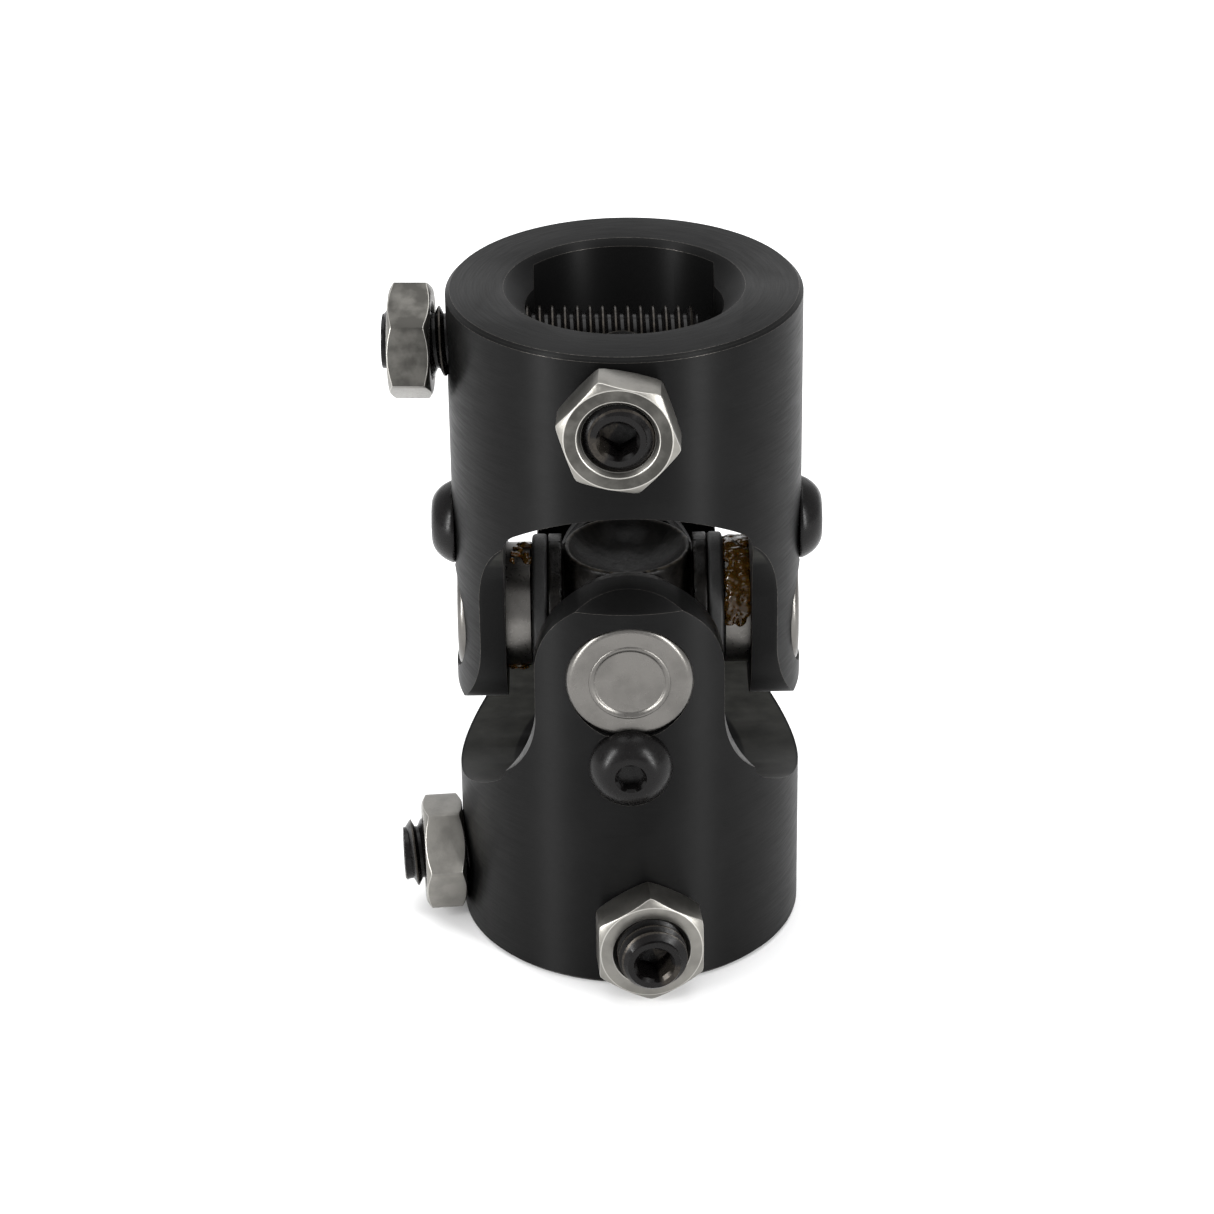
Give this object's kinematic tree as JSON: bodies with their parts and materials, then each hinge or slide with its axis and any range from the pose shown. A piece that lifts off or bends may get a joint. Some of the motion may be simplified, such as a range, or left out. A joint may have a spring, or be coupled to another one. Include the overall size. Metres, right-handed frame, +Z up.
{
  "type": "universal joint shaft",
  "caption": "Single universal joint for a steering shaft, with needle bearings, double-D sockets and set screws with jam nuts.",
  "frame": {"origin": "centre of the lower end face, where the lower shaft enters its socket", "axes": "+Z up the shaft axis to the upper yoke; -Y is the side that the lower front set screw stands on and +X is to the right seen from there; the trunnion axes cross at z = 40 mm"},
  "size_m": [0.0498, 0.0503, 0.08],
  "materials": {
    "yoke_black_oxide": "machined steel, black oxide under a thin satin lacquer",
    "cross_forging": "black forging skin, worn on the rim of the dish",
    "cup_steel": "ground bearing steel",
    "needle_steel": "ground and lapped",
    "pad_nylon": "natural nylon",
    "seal_rubber": "moulded nitrile rubber",
    "cup_screw_black": "black oxide, semi-gloss",
    "set_screw_black": "black oxide, worn bright on the thread crests",
    "nut_zinc": "zinc plated, satin"
  },
  "bodies": {
    "lower_yoke": {"lower_yoke": "yoke_black_oxide", "front_bearing_cup": "cup_steel", "front_thrust_pad": "pad_nylon", "front_seal": "seal_rubber", "front_cup_screw": "cup_screw_black", "rear_bearing_cup": "cup_steel", "rear_thrust_pad": "pad_nylon", "rear_seal": "seal_rubber", "rear_cup_screw": "cup_screw_black"},
    "cross": {"cross": "cross_forging"},
    "upper_yoke": {"upper_yoke": "yoke_black_oxide", "left_bearing_cup": "cup_steel", "left_thrust_pad": "pad_nylon", "left_seal": "seal_rubber", "left_cup_screw": "cup_screw_black", "right_bearing_cup": "cup_steel", "right_thrust_pad": "pad_nylon", "right_seal": "seal_rubber", "right_cup_screw": "cup_screw_black"},
    "front_needle_rollers": {"front_needle_rollers": "needle_steel"},
    "rear_needle_rollers": {"rear_needle_rollers": "needle_steel"},
    "left_needle_rollers": {"left_needle_rollers": "needle_steel"},
    "right_needle_rollers": {"right_needle_rollers": "needle_steel"},
    "upper_left_set_screw": {"upper_left_set_screw": "set_screw_black"},
    "upper_left_jam_nut": {"upper_left_jam_nut": "nut_zinc"},
    "upper_front_set_screw": {"upper_front_set_screw": "set_screw_black"},
    "upper_front_jam_nut": {"upper_front_jam_nut": "nut_zinc"},
    "lower_left_set_screw": {"lower_left_set_screw": "set_screw_black"},
    "lower_left_jam_nut": {"lower_left_jam_nut": "nut_zinc"},
    "lower_front_set_screw": {"lower_front_set_screw": "set_screw_black"},
    "lower_front_jam_nut": {"lower_front_jam_nut": "nut_zinc"}
  },
  "joints": [
    {"name": "lower_trunnion_hinge", "type": "hinge", "parent": "lower_yoke", "child": "cross", "pos_m": [0, 0, 0.04], "axis": [0, 1, 0], "range_deg": [-30, 30]},
    {"name": "upper_trunnion_hinge", "type": "hinge", "parent": "cross", "child": "upper_yoke", "pos_m": [0, 0, 0.04], "axis": [1, 0, 0], "range_deg": [-30, 30]},
    {"name": "front_needles_roll", "type": "hinge", "parent": "lower_yoke", "child": "front_needle_rollers", "pos_m": [0, 0, 0.04], "axis": [0, 1, 0], "range_deg": [-18, 18]},
    {"name": "rear_needles_roll", "type": "hinge", "parent": "lower_yoke", "child": "rear_needle_rollers", "pos_m": [0, 0, 0.04], "axis": [0, 1, 0], "range_deg": [-18, 18]},
    {"name": "left_needles_roll", "type": "hinge", "parent": "cross", "child": "left_needle_rollers", "pos_m": [0, 0, 0.04], "axis": [1, 0, 0], "range_deg": [-18, 18]},
    {"name": "right_needles_roll", "type": "hinge", "parent": "cross", "child": "right_needle_rollers", "pos_m": [0, 0, 0.04], "axis": [1, 0, 0], "range_deg": [-18, 18]},
    {"name": "upper_left_screw_travel", "type": "slide", "parent": "upper_yoke", "child": "upper_left_set_screw", "axis": [-0.9993, 0.0384, 0], "range_m": [-0.0015, 0.0184]},
    {"name": "upper_left_nut_travel", "type": "slide", "parent": "upper_yoke", "child": "upper_left_jam_nut", "axis": [-0.9993, 0.0384, 0], "range_m": [-0.0015, 0.0007]},
    {"name": "upper_front_screw_travel", "type": "slide", "parent": "upper_yoke", "child": "upper_front_set_screw", "axis": [-0.0384, -0.9993, 0], "range_m": [-0.0006, 0.0077]},
    {"name": "upper_front_nut_travel", "type": "slide", "parent": "upper_yoke", "child": "upper_front_jam_nut", "axis": [-0.0384, -0.9993, 0], "range_m": [-0.0009, 0.0002]},
    {"name": "lower_left_screw_travel", "type": "slide", "parent": "lower_yoke", "child": "lower_left_set_screw", "axis": [-0.9962, -0.0872, 0], "range_m": [-0.002, 0.005]},
    {"name": "lower_left_nut_travel", "type": "slide", "parent": "lower_yoke", "child": "lower_left_jam_nut", "axis": [-0.9962, -0.0872, 0], "range_m": [0, 0.0023]},
    {"name": "lower_front_screw_travel", "type": "slide", "parent": "lower_yoke", "child": "lower_front_set_screw", "axis": [0.0872, -0.9962, 0], "range_m": [-0.002, 0.005]},
    {"name": "lower_front_nut_travel", "type": "slide", "parent": "lower_yoke", "child": "lower_front_jam_nut", "axis": [0.0872, -0.9962, 0], "range_m": [0, 0.0028]}
  ],
  "couplings": [
    {"joint": "front_needles_roll", "follows": "lower_trunnion_hinge", "ratio": 0.4296},
    {"joint": "rear_needles_roll", "follows": "lower_trunnion_hinge", "ratio": 0.4296},
    {"joint": "left_needles_roll", "follows": "upper_trunnion_hinge", "ratio": 0.5704},
    {"joint": "right_needles_roll", "follows": "upper_trunnion_hinge", "ratio": 0.5704}
  ]
}
